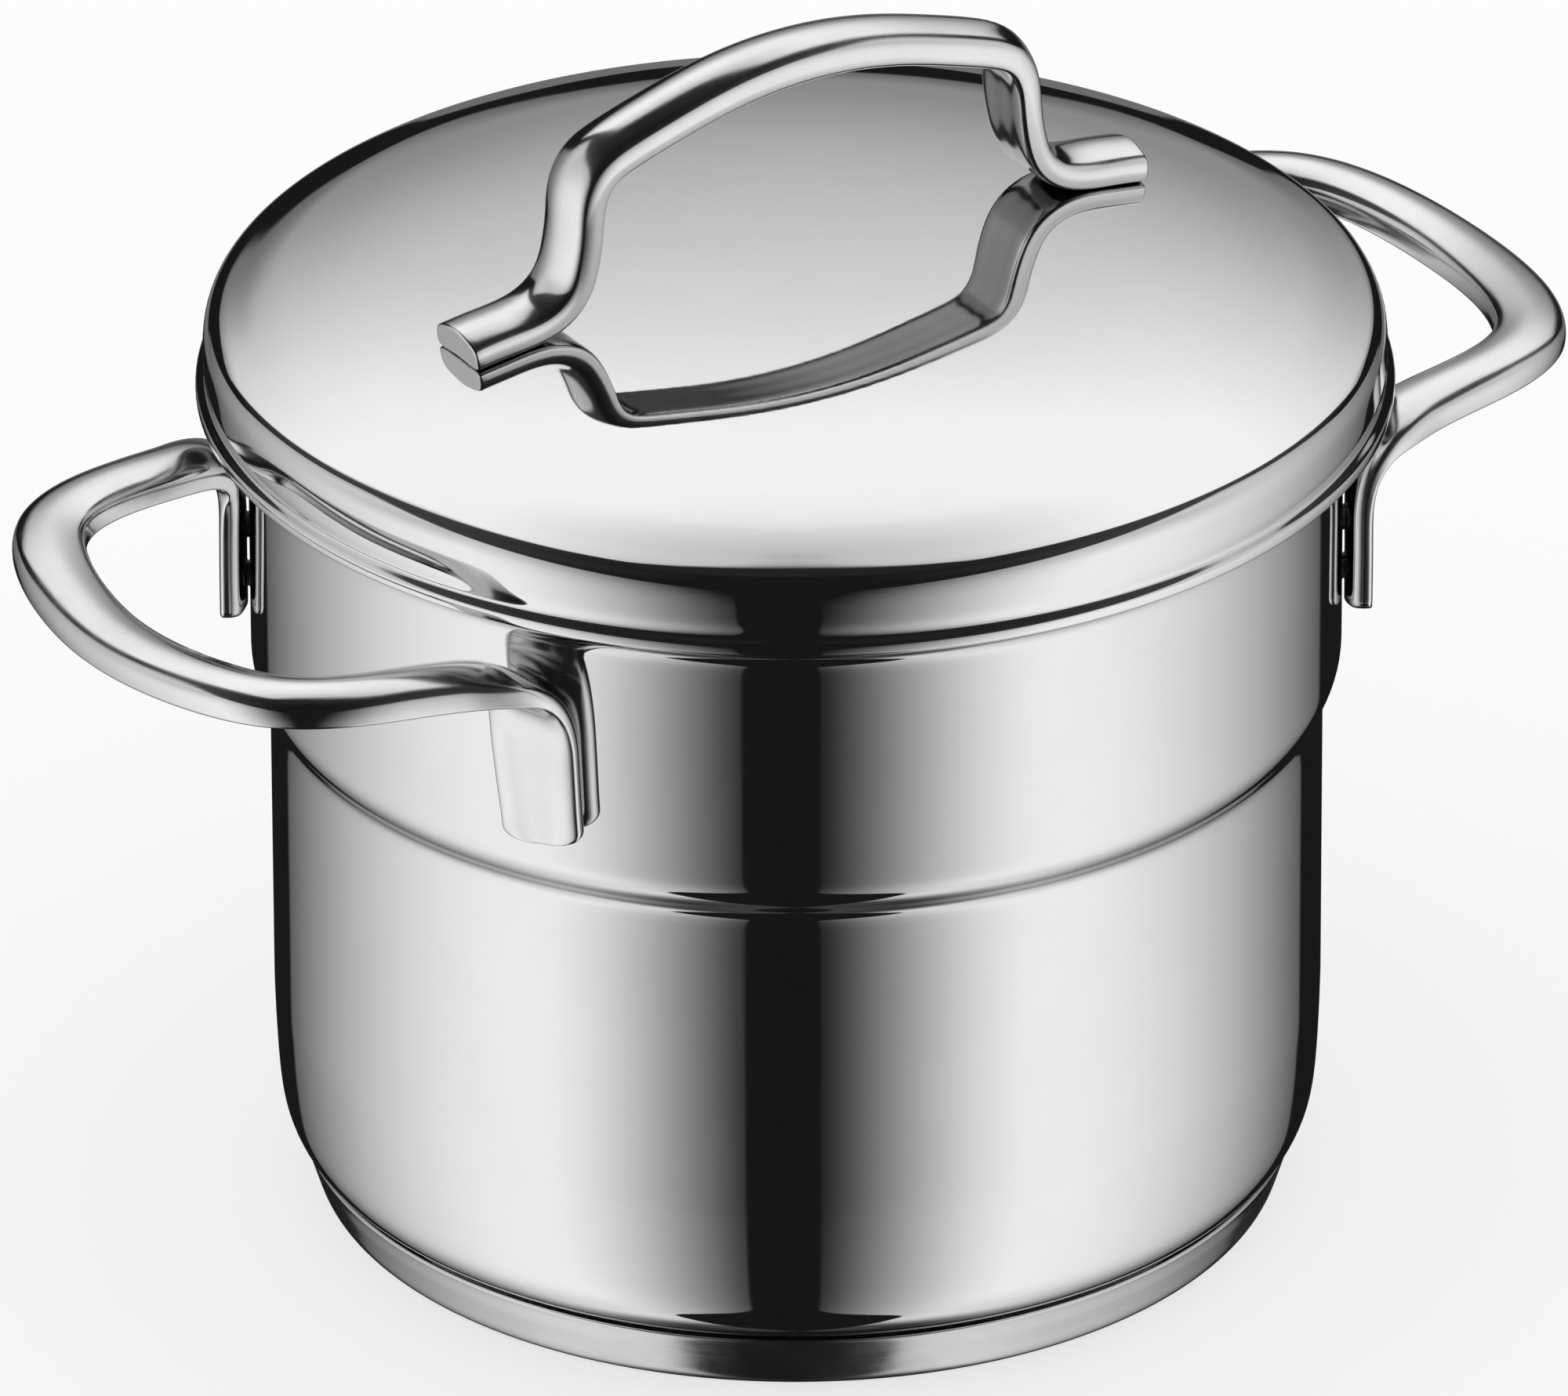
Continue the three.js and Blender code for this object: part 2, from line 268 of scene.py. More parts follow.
@dataclass(frozen=True)
class BentBar:
    """Half-round bar swept through stations, crown facing tangent x width."""

    stations: Sequence[Station]
    end: EndForm
    ring_gap: float = 0.7
    around: int = 64
    edge: float = 0.35
    edge_steps: int = 6
    end_shares: Triple = (0.93, 0.5, 0.04)
    tongue_length: float = 1.9
    tongue_power: float = 2.6
    tongue_start: float = 0.08
    tongue_rings: int = 14
    softness: float = 2.0
    soft_step: float = 0.2

    def section(self) -> np.ndarray:
        """Half-round section of unit width and thickness: flat underside, short sides, round top.

        Returns:
            The closed outline, one point per row.
        """
        right = [(0.2, -0.5), (0.42, -0.497), (0.476, -0.455), (0.498, -0.34), (0.5, -0.19)]
        right += [(0.491, -0.04), (0.47, 0.1), (0.437, 0.205), (0.39, 0.275), (0.3, 0.36)]
        right += [(0.2, 0.43), (0.1, 0.48)]
        left = [(-x, y) for x, y in reversed(right)]
        curve = Spline([(0.0, -0.5), *right, (0.0, 0.5), *left], closed=True)
        return curve.at(np.linspace(0, curve.knots[-1], self.around, endpoint=False))

    def mesh(self, name: str) -> bpy.types.Mesh:
        """Loft the bar.

        Args:
            name: Name of the mesh.

        Returns:
            The closed mesh in metres.
        """
        path = Spline([station.at for station in self.stations])
        length = path.knots[-1]
        places = self._places(length)
        centres, tangents = path.at(places), path.at(places, slope=True)
        tangents /= np.linalg.norm(tangents, axis=1)[:, None]
        sizes = self._eased(path.knots, places, [(s.width, s.thickness) for s in self.stations])
        if self.end is EndForm.TONGUE:
            sizes *= self._tongue(np.minimum(places, length - places), sizes[:, 1])
        across = self._eased(path.knots, places, [s.across for s in self.stations])
        crowns = np.cross(tangents, across)
        crowns /= np.linalg.norm(crowns, axis=1)[:, None]
        sides = np.cross(crowns, tangents)
        section = self.section()
        rings = [
            centre + section[:, :1] * size[0] * side + section[:, 1:] * size[1] * crown
            for centre, size, side, crown in zip(centres, sizes, sides, crowns)
        ]
        start = self._end(rings[0], centres[0], -tangents[0])
        finish = self._end(rings[-1], centres[-1], tangents[-1])
        rings = [*reversed(start), *rings, *finish]
        firsts = range(0, len(rings) * self.around, self.around)
        numbers = [[*range(first, first + self.around), first] for first in firsts]
        faces, uvs = skin(numbers, [i / len(rings) for i in range(len(rings))])
        faces += [numbers[0][-2::-1], numbers[-1][:-1]]
        uvs += [(0.0, 0.0)] * self.around + [(1.0, 1.0)] * self.around
        return finished_mesh(name, (np.vstack(rings) * MM).tolist(), faces, uvs)

    def _places(self, length: float) -> np.ndarray:
        """Distances of the rings along the bar, closer together in a tongue.

        Args:
            length: Length of the bar.

        Returns:
            The distances in order.
        """
        if self.end is EndForm.CUT:
            return np.linspace(self.edge, length - self.edge, round(length / self.ring_gap))
        turns = np.linspace(self.tongue_start, math.pi / 2, self.tongue_rings)
        tip = self.tongue_length * (1 - np.cos(turns))
        count = round((length - 2 * self.tongue_length) / self.ring_gap)
        middle = np.linspace(self.tongue_length, length - self.tongue_length, count)
        return np.concatenate([tip[:-1], middle, length - tip[-2::-1]])

    def _tongue(self, tips: np.ndarray, thickness: np.ndarray) -> np.ndarray:
        """Shares of the width and thickness that a rounded end leaves.

        Args:
            tips: Distance of each ring from the nearer end.
            thickness: Full thickness at each ring.

        Returns:
            One row per ring.
        """
        short = np.clip(1 - tips / self.tongue_length, 0, 1)
        width = (1 - short**self.tongue_power) ** (1 / self.tongue_power)
        near = np.clip(1 - tips / self.edge, 0, 1)
        drop = self.edge * (1 - np.sqrt(1 - near**2))
        return np.stack([width, 1 - 2 * drop / thickness], axis=1)

    def _eased(self, knots: np.ndarray, places: np.ndarray, values: Sequence) -> np.ndarray:
        """Run values from station to station without overshoot, with soft changes.

        Args:
            knots: Distances of the stations along the bar.
            places: Distances of the rings along the bar.
            values: One row of values per station.

        Returns:
            One row of values per ring.
        """
        grid = np.linspace(0, knots[-1], round(knots[-1] / self.soft_step))
        reach = round(self.softness / self.soft_step)
        soft = np.hanning(2 * reach + 3)[1:-1]
        soft /= soft.sum()
        columns = []
        for column in np.asarray(values, float).T:
            run = np.pad(np.interp(grid, knots, column), reach, mode="edge")
            columns.append(np.interp(places, grid, np.convolve(run, soft, mode="valid")))
        return np.stack(columns, axis=1)

    def _end(self, ring: np.ndarray, centre: np.ndarray, outward: np.ndarray) -> list[np.ndarray]:
        """Close in on the end face, past a rounded edge where the bar is cut.

        Args:
            ring: The last full ring.
            centre: Its centre.
            outward: Direction out of the end.

        Returns:
            Rings from the edge to close to the middle.
        """
        rings = []
        face, middle = ring, centre
        if self.end is EndForm.CUT:
            inward = centre - ring
            inward /= np.linalg.norm(inward, axis=1)[:, None]
            for step in range(1, self.edge_steps + 1):
                turn = step / self.edge_steps * math.pi / 2
                drop = self.edge * (1 - math.cos(turn))
                rings.append(ring + inward * drop + outward * self.edge * math.sin(turn))
            face, middle = rings[-1], centre + outward * self.edge
        rings.extend(middle + (face - middle) * share for share in self.end_shares)
        return rings


# Finishes


class Graph:
    """Adds and links the nodes of one tree."""

    def __init__(self, tree: bpy.types.NodeTree) -> None:
        """Keep the tree that nodes are added to."""
        self.tree = tree

    def add(self, kind: str, values: dict | None = None, **settings: object) -> bpy.types.Node:
        """Add a node and feed its inputs.

        Args:
            kind: Blender's name of the node type.
            values: A socket or a plain value per input, by the input's name or number.
            settings: Properties of the node to set.

        Returns:
            The new node.
        """
        node = self.tree.nodes.new(kind)
        for key, value in settings.items():
            setattr(node, key, value)
        for key, value in (values or {}).items():
            if isinstance(value, Socket):
                self.tree.links.new(value, node.inputs[key])
            else:
                node.inputs[key].default_value = value
        return node

    def math(self, operation: str, *values: object) -> Socket:
        """Result of a Math node, from sockets or numbers."""
        node = self.add("ShaderNodeMath", dict(enumerate(values)), operation=operation)
        return node.outputs[0]

    def product(self, *factors: object) -> Socket:
        """Multiply sockets or numbers, in their order."""
        return reduce(partial(self.math, "MULTIPLY"), factors)

    def ease(self, value: Socket, span: Pair, low: float = 0.0, high: float = 1.0) -> Socket:
        """Run smoothly from low to high while a value crosses a span."""
        values = dict(enumerate((value, *span, low, high)))
        return self.add("ShaderNodeMapRange", values, interpolation_type="SMOOTHSTEP").outputs[0]

    def blend(self, factor: Socket, first: object, second: object) -> Socket:
        """Mix two colours by a factor."""
        node = self.add("ShaderNodeMix", {0: factor, 6: first, 7: second}, data_type="RGBA")
        return node.outputs[2]


class Marks(Enum):
    """Which way the tool marks of a finish run."""

    TURNED = "turned_lines"
    DRAWN = "drawn_lines"


@dataclass
class SharedEffects:
    """Shader groups that more than one finish uses."""

    line_detail: float = 3.0
    haze_detail: float = 4.0
    haze_roughness: float = 0.6
    haze_span: Pair = (0.3, 0.7)
    # Span of the mask at the flat underside's edge, where painted shade fades out.
    shaded_underside_edge: Pair = (0.11, 0.14)
    end_edge: Pair = (0.042, 0.05)
    smallest_radius: float = 1e-5

    def __post_init__(self) -> None:
        """Build every group once."""
        self.marks = {Marks.TURNED: self._turned_lines(), Marks.DRAWN: self._drawn_lines()}
        self.haze = self._polish_haze()

    def _group(
        self, name: str, inputs: Sequence[str], outputs: Sequence[str]
    ) -> tuple[Graph, Sequence[Socket]]:
        """Start a shader node group that has a Vector input.

        Args:
            name: Name of the group.
            inputs: Names of its value inputs.
            outputs: Names of its value outputs.

        Returns:
            The group's graph and what it is given.
        """
        tree = bpy.data.node_groups.new(name, "ShaderNodeTree")
        tree.interface.new_socket("Vector", in_out="INPUT", socket_type="NodeSocketVector")
        for names, way in ((inputs, "INPUT"), (outputs, "OUTPUT")):
            for key in names:
                tree.interface.new_socket(key, in_out=way, socket_type="NodeSocketFloat")
        graph = Graph(tree)
        return graph, graph.add("NodeGroupInput").outputs

    def _turned_lines(self) -> bpy.types.NodeTree:
        """Fine rings round the upright axis, broken into long arcs.

        Returns:
            The group, with the output Lines.
        """
        graph, given = self._group(Marks.TURNED.value, ["Fineness", "Breaks"], ["Lines"])
        fineness, breaks = given["Fineness"], given["Breaks"]
        x, y, z = graph.add("ShaderNodeSeparateXYZ", {0: given["Vector"]}).outputs
        flat = graph.math("ADD", graph.product(x, x), graph.product(y, y))
        radius = graph.math("MAXIMUM", graph.math("SQRT", flat), self.smallest_radius)
        place = [graph.product(graph.math("DIVIDE", part, radius), breaks) for part in (x, y)]
        place.append(graph.product(radius, fineness))
        spot = graph.add("ShaderNodeCombineXYZ", dict(enumerate(place))).outputs[0]
        values = {"Vector": spot, "W": graph.product(z, fineness)}
        values |= {"Scale": 1.0, "Detail": self.line_detail}
        noise = graph.add("ShaderNodeTexNoise", values, noise_dimensions="4D")
        graph.add("NodeGroupOutput", {"Lines": noise.outputs[0]})
        return graph.tree

    def _drawn_lines(self) -> bpy.types.NodeTree:
        """Fine lines along a bar, and a mask of its flat underside where shade is painted, from its
        UV layer.

        Returns:
            The group, with the outputs Lines and the mask of the flat underside where shade is
            painted.
        """
        inputs, outputs = ["Fineness", "Breaks"], ["Lines", "Underside"]
        graph, given = self._group(Marks.DRAWN.value, inputs, outputs)
        around, along, _ = graph.add("ShaderNodeSeparateXYZ", {0: given["Vector"]}).outputs
        turn = graph.product(around, 2 * math.pi)
        waves = [graph.math(wave, turn) for wave in ("COSINE", "SINE")]
        place = [graph.product(wave, given["Fineness"]) for wave in waves]
        place.append(graph.product(along, given["Breaks"]))
        spot = graph.add("ShaderNodeCombineXYZ", dict(enumerate(place))).outputs[0]
        values = {"Vector": spot, "Scale": 1.0, "Detail": self.line_detail}
        noise = graph.add("ShaderNodeTexNoise", values)
        back = [graph.math("SUBTRACT", 1.0, part) for part in (around, along)]
        # Mask of the flat underside, faded near the bar's ends, that takes painted shade.
        below = graph.ease(graph.math("MINIMUM", around, back[0]), self.shaded_underside_edge, 1.0, 0.0)
        inward = graph.ease(graph.math("MINIMUM", along, back[1]), self.end_edge)
        underside = graph.product(below, inward)
        graph.add("NodeGroupOutput", {"Lines": noise.outputs[0], "Underside": underside})
        return graph.tree

    def _polish_haze(self) -> bpy.types.NodeTree:
        """Broad cloudy change that polishing leaves.

        Returns:
            The group, with the output Haze.
        """
        graph, given = self._group("polish_haze", ["Scale"], ["Haze"])
        values = {"Vector": given["Vector"], "Scale": given["Scale"]}
        values |= {"Detail": self.haze_detail, "Roughness": self.haze_roughness}
        noise = graph.add("ShaderNodeTexNoise", values)
        graph.add("NodeGroupOutput", {"Haze": graph.ease(noise.outputs[0], self.haze_span)})
        return graph.tree


def bare_material(name: str) -> tuple[bpy.types.Material, Graph]:
    """Make a material without nodes.

    Args:
        name: Name of the material.

    Returns:
        The material and its graph.
    """
    made = bpy.data.materials.new(name)
    made.use_nodes = True
    made.node_tree.nodes.clear()
    return made, Graph(made.node_tree)


@dataclass(frozen=True)
class MetalFinish:
    """A metal surface: two tints, a range of roughness, the marks of its polishing, and painted shade
    on a drawn bar's flat underside.
    """

    name: str
    pale: Triple
    deep: Triple
    roughness: Pair
    fineness: float
    breaks: float
    relief: float
    marks: Marks = Marks.TURNED
    mark_span: Pair = (0.2, 0.8)
    relief_depth: float = 0.01
    haze_scale: float = 60.0
    # Share of the tint left on a drawn bar's flat underside, as painted shade; 1 paints no shade.
    underside: float = 1.0

    def material(self, effects: SharedEffects) -> bpy.types.Material:
        """Build the finish as a node material.

        Args:
            effects: The shared shader groups.

        Returns:
            The material.
        """
        made, graph = bare_material(self.name)
        place = graph.add("ShaderNodeTexCoord").outputs
        along = place["UV" if self.marks is Marks.DRAWN else "Object"]
        values = {"Vector": along, "Fineness": self.fineness, "Breaks": self.breaks}
        group = graph.add("ShaderNodeGroup", values, node_tree=effects.marks[self.marks])
        lines = group.outputs["Lines"]
        values = {"Vector": place["Object"], "Scale": self.haze_scale}
        haze = graph.add("ShaderNodeGroup", values, node_tree=effects.haze).outputs["Haze"]
        both = graph.product(graph.math("ADD", lines, haze), 0.5)
        tint = graph.blend(both, (*self.pale, 1.0), (*self.deep, 1.0))
        # Painted shade: a drawn bar's flat underside is blended towards black.
        if self.marks is Marks.DRAWN:
            painted_shade = graph.product(group.outputs["Underside"], 1.0 - self.underside)
            tint = graph.blend(painted_shade, tint, (0.0, 0.0, 0.0, 1.0))
        roughness = graph.ease(both, self.mark_span, *self.roughness)
        values = {"Strength": self.relief, "Distance": self.relief_depth * MM, "Height": lines}
        normal = graph.add("ShaderNodeBump", values).outputs["Normal"]
        values = {"Metallic": 1.0, "Base Color": tint, "Roughness": roughness, "Normal": normal}
        surface = graph.add("ShaderNodeBsdfPrincipled", values)
        graph.add("ShaderNodeOutputMaterial", {"Surface": surface.outputs["BSDF"]})
        return made


def grey(level: float) -> Triple:
    """Neutral tint of a level."""
    return (level, level, level)


MIRROR_STEEL = MetalFinish(
    "mirror_steel", grey(0.76), grey(0.72), (0.025, 0.05), 2500.0, 3.0, 0.05
)
MIRROR_LID = replace(MIRROR_STEEL, name="mirror_lid", roughness=(0.02, 0.045))
TURNED_STEEL = MetalFinish("turned_steel", grey(0.72), grey(0.6), (0.1, 0.2), 9000.0, 2.0, 0.4)
SATIN_BAR = MetalFinish(
    "satin_bar", grey(0.76), grey(0.68), (0.1, 0.19), 40.0, 6.0, 0.25, Marks.DRAWN
)
# Lid bar finish with painted shade darkening the flat underside of its bar.
SATIN_LID_BAR_SHADED = replace(SATIN_BAR, name="satin_lid_bar_shaded", underside=0.45)
PLAIN_ALUMINIUM = MetalFinish(
    "plain_aluminium", (0.78, 0.79, 0.8), (0.66, 0.67, 0.68), (0.3, 0.5), 3000.0, 2.0, 0.4
)
WELD_STEEL = MetalFinish(
    "weld_steel", (0.4, 0.39, 0.38), (0.2, 0.2, 0.21), (0.35, 0.6), 4000.0, 40.0, 0.8
)


class Workshop:
    """Makes pieces from meshes, finishes and the solids that they stand for."""

    def __init__(self) -> None:
        """Build the shared shader groups."""
        self.effects = SharedEffects()
        self.materials: dict[str, bpy.types.Material] = {}

    def material(self, finish: MetalFinish) -> bpy.types.Material:
        """Find the finish's material, or make it on first use.

        Args:
            finish: The finish.

        Returns:
            Its material.
        """
        if finish.name not in self.materials:
            self.materials[finish.name] = finish.material(self.effects)
        return self.materials[finish.name]

    def place(
        self, mesh: bpy.types.Mesh, finish: MetalFinish, body: str, node: str, slot: str
    ) -> None:
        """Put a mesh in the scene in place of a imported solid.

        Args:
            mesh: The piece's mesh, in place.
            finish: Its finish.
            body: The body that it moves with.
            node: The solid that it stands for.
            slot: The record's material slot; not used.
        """
        piece = bpy.data.objects.new(mesh.name, mesh)
        bpy.context.scene.collection.objects.link(piece)
        mesh.materials.append(self.material(finish))
        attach(piece, body)
        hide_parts(node)
        log.info("%s stands for %s on body %s", piece.name, node, body)

    def dress(self, node: str, finish: MetalFinish) -> None:
        """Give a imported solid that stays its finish.

        Args:
            node: The solid.
            finish: Its finish.
        """
        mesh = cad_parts[node].data
        mesh.materials.clear()
        mesh.materials.append(self.material(finish))
        log.info("%s keeps its solid", node)


# Sub-assemblies


@dataclass(frozen=True)
class Pot:
    """Deep-drawn shell with a stepped wall and a flared lip, on a capsule base."""

    inner_radius: float = 60.0
    wall: float = 0.8
    step_in: float = 2.07
    step_top: float = 66.0
    step_bottom: float = 60.8
    corner_top: float = 24.0
    corner_width: float = 8.2
    hollow_width: float = 7.6
    shell_bottom: float = 5.6
    floor_thickness: float = 0.9
    flare_start: float = 93.0
    lip_reach: float = 4.95
    cap_top: float = 6.62
    cap_radius: float = 56.05
    cap_foot_radius: float = 53.0
    cap_thickness: float = 0.55
    cap_side_top: float = 4.45
    cap_side_inset: float = 0.6
    cap_margin: float = 0.3

    @property
    def upper_radius(self) -> float:
        """Outside radius of the band above the step."""
        return self.inner_radius + self.wall

    @property
    def lower_radius(self) -> float:
        """Outside radius of the wall below the step."""
        return self.upper_radius - self.step_in

    def build(self, shop: Workshop) -> None:
        """Make and dress the shell and the base.

        Args:
            shop: Makes the pieces.
        """
        shell = turned_mesh("pot_body_sheet", soften(self.shell_outline()))
        shop.place(shell, MIRROR_STEEL, "pot", "pot_body", "shell")
        cap = turned_mesh("base_cap_dish", soften(self.cap_outline()))
        shop.place(cap, TURNED_STEEL, "pot", "base_cap", "cap")
        shop.dress("base_core", PLAIN_ALUMINIUM)

    def step(self, radius: float) -> Outline:
        """S-shaped step outwards from a radius.

        Args:
            radius: Radius of the surface below the step.

        Returns:
            Controls from the bottom of the step to its top.
        """
        rise = self.step_top - self.step_bottom
        shape = [(0, 0), (0.14, 0.2), (0.46, 0.37), (0.76, 0.57), (0.95, 0.8), (1, 1)]
        return [(radius + out * self.step_in, self.step_bottom + up * rise) for out, up in shape]

    def shell_outline(self) -> Outline:
        """Closed outline of the sheet: bottom, outside, lip, inside and floor.

        Returns:
            Control points of radius and height.
        """
        lower, upper, inner = self.lower_radius, self.upper_radius, self.inner_radius
        bottom, flare = self.shell_bottom, self.flare_start
        liner, floor = lower - self.wall, bottom + self.floor_thickness
        corner = [(-6.2, 0.12), (-4.7, 0.42), (-3.5, 0.98), (-2.4, 1.84), (-1.6, 2.88)]
        corner += [(-1.0, 4.22), (-0.62, 5.85), (-0.37, 8.8), (-0.15, 12.8)]
        rising = [(0.2, 1.0), (0.8, 2.0), (1.8, 2.8), (3.1, 3.4)]
        lip = [(-0.5, 3.75), (-0.05, 3.98), (0, 4.25), (-0.2, 4.52), (-0.8, 4.55)]
        falling = [(2.8, 4.2), (1.4, 3.5), (0.2, 2.5)]
        hollow = [(-0.3, 10.0), (-0.8, 5.9), (-1.6, 3.9), (-2.9, 2.4), (-4.6, 1.4)]
        return [
            *straight((0, bottom), (lower - self.corner_width, bottom)),
            *bend(lower, bottom, corner),
            *straight((lower, self.corner_top), (lower, self.step_bottom))[:-1],
            *self.step(lower)[:-1],
            *straight((upper, self.step_top), (upper, flare)),
            *bend(upper, flare, rising),
            *bend(upper + self.lip_reach, flare, lip),
            *bend(upper, flare, falling),
            (inner + 0.25, flare + 1.3),
            *straight((inner, flare), (inner, self.step_top))[:-1],
            *self.step(liner)[:0:-1],
            *straight((liner, self.step_bottom), (liner, self.corner_top)),
            *bend(liner, bottom, hollow),
            *straight((liner - self.hollow_width, floor), (0, floor)),
        ]

    def cap_outline(self) -> Outline:
        """Closed outline of the thin dish under the pot.

        Returns:
            Control points of radius and height.
        """
        foot, rim = self.cap_foot_radius, self.cap_radius
        top, sheet = self.cap_top, self.cap_thickness
        side = rim - self.cap_side_inset
        lip = [(-0.15, -0.5), (0, -0.2), (-0.05, -0.05), (-0.2, 0)]
        outside = (foot + 1.8, 2.4), (side, self.cap_side_top)
        inside = (side - sheet, self.cap_side_top), (foot + 1.5 - sheet, 1.75)
        return [
            *straight((0, 0), (foot, 0)),
            *bend(foot, 0, [(0.65, 0.12), (1.15, 0.55), (1.5, 1.4)]),
            *straight(*outside, self.cap_margin),
            *bend(rim, top, lip),
            *bend(rim - sheet, top, [(0.05, 0), (0, -0.1)]),
            *straight(*inside, self.cap_margin),
            (foot, 0.95),
            (foot - 1.1, sheet),
            *straight((foot - 2.1, sheet), (0, sheet)),
        ]


class Side(Enum):
    """The two sides of the pot, by the turn of the handle there."""

    RIGHT = 0.0
    LEFT = 180.0


@dataclass(frozen=True)
class WeldBead:
    """Small fused projection that holds a foot on its sheet."""

    radius: float
    gap: float
    sink: float = 0.1
    flare: float = 0.3
    swell: float = 0.1
    flat_share: float = 0.6
    segments: int = 32

    def mesh(self, name: str, centre: Vector, direction: Vector) -> bpy.types.Mesh:
        """Turn the bead and stand it on its sheet.

        Args:
            name: Name of the mesh.
            centre: Middle of the bead in millimetres.
            direction: Direction out of the sheet.

        Returns:
            The mesh in place.
        """
        slim, half = self.radius, (self.gap + self.sink) / 2
        lower = [(0, -half), (self.flat_share * slim, -half), (slim + self.flare, -half)]
        lower += [(slim + self.swell, -half / 2)]
        upper = [(radius, -height) for radius, height in reversed(lower)]
        mesh = turned_mesh(name, soften([*lower, (slim, 0), *upper]), self.segments)
        turn = direction.to_track_quat("Z", "Y").to_matrix().to_4x4()
        mesh.transform(Matrix.Translation(centre * MM) @ turn)
        return mesh


@dataclass(frozen=True)
class SideHandle:
    """Loop of half-round bar whose ends are flattened into two welded feet."""

    side: Side
    wall_radius: float = 60.8
    foot_angle: float = 31.6
    foot_lean: float = 1.6
    lean_middle: float = 0.32
    lean_top: float = -0.4
    foot_standoff: float = 0.25
    foot_thickness: float = 3.05
    foot_width: float = 10.4
    foot_bottom: float = 69.8
    bar_width: float = 8.2
    bar_thickness: float = 3.9
    loop_reach: float = 88.3
    loop_height: float = 89.3
    weld_heights: Pair = (4.1, 10.2)
    weld_radius: float = 1.4

    @property
    def name(self) -> str:
        """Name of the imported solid."""
        return f"handle_{self.side.name.lower()}"

    @property
    def foot_radius(self) -> float:
        """Distance of the middle of a foot's section from the pot's axis."""
        return self.wall_radius + self.foot_standoff + self.foot_thickness / 2

    def build(self, shop: Workshop) -> None:
        """Make and dress the bar and its welds.

        Args:
            shop: Makes the pieces.
        """
        turn = Matrix.Rotation(math.radians(self.side.value), 4, "Z")
        bar = BentBar(self.stations(), EndForm.TONGUE).mesh(f"{self.name}_bar")
        bar.transform(turn)
        shop.place(bar, SATIN_BAR, "pot", self.name, "bar")
        bead = WeldBead(self.weld_radius, self.foot_standoff)
        angles = [math.radians(bearing) for bearing in (self.foot_angle, -self.foot_angle)]
        spots = [(angle, height) for angle in angles for height in self.weld_heights]
        for number, (angle, height) in enumerate(spots, 1):
            outward = Vector((math.cos(angle), math.sin(angle), 0))
            centre = outward * (self.wall_radius + self.foot_standoff / 2)
            centre.z = self.foot_bottom + height
            mesh = bead.mesh(f"{self.name}_weld_{number}_bead", centre, outward)
            mesh.transform(turn)
            shop.place(mesh, WELD_STEEL, "pot", f"{self.name}_weld_{number}", "weld")

    def stations(self) -> list[Station]:
        """Stations from one foot's lower end round the loop to the other.

        Returns:
            The stations in order.
        """
        foot = [(0, 0.9), (0.2, 0.7), (0.42, 0.3), (0.63, 0)]
        loop = [(0.01, 0.998, -4.1, 0.1, 118), (0.046, 0.991, -1.4, 0.3, 110)]
        loop += [(0.12, 0.976, 0.4, 0.5, 96), (0.245, 0.948, 1.3, 0.8, 83)]
        loop += [(0.45, 0.913, 1.8, 1, 78), (0.637, 0.862, 2.0, 1, 67), (0.805, 0.748, 2.0, 1, 48)]
        loop += [(0.915, 0.545, 1.75, 1, 31), (0.977, 0.29, 1.3, 1, 16), (1, 0, 1.0, 1, 0)]
        half = [self.foot_station(*place) for place in foot]
        half += [self.loop_station(*place) for place in loop]
        return half + [station.mirrored((1, -1, 1)) for station in half[-2::-1]]

    def foot_station(self, share: float, narrower: float) -> Station:
        """Station on a foot, which leans a little towards the other foot.

        Args:
            share: Share of the rise from the foot's lower end to the loop.
            narrower: How much narrower than the full foot it is.

        Returns:
            The station.
        """
        height = self.foot_bottom + share * (self.loop_height - self.foot_bottom)
        angle = math.radians(self.foot_angle + self.foot_lean * (self.lean_middle - share))
        c, s = math.cos(angle), math.sin(angle)
        at = (self.foot_radius * c, self.foot_radius * s, height)
        return Station(at, self.foot_width - narrower, self.foot_thickness, (-s, c, 0))

    def loop_station(
        self, reach: float, spread: float, lift: float, bar_share: float, bearing: float
    ) -> Station:
        """Station on the loop.

        Args:
            reach: Share of the reach from foot to tip.
            spread: Share of half the distance between the feet.
            lift: Height above the loop's own height.
            bar_share: How far the foot has become the bar.
            bearing: Direction of the section's width.

        Returns:
            The station.
        """
        top = math.radians(self.foot_angle + self.lean_top * self.foot_lean)
        foot_x, foot_y = self.foot_radius * math.cos(top), self.foot_radius * math.sin(top)
        out = foot_x + (self.loop_reach - foot_x) * reach
        width = self.foot_width + (self.bar_width - self.foot_width) * bar_share
        thickness = self.foot_thickness + (self.bar_thickness - self.foot_thickness) * bar_share
        angle = math.radians(bearing)
        across = (math.cos(angle), math.sin(angle), 0)
        return Station((out, foot_y * spread, self.loop_height + lift), width, thickness, across)


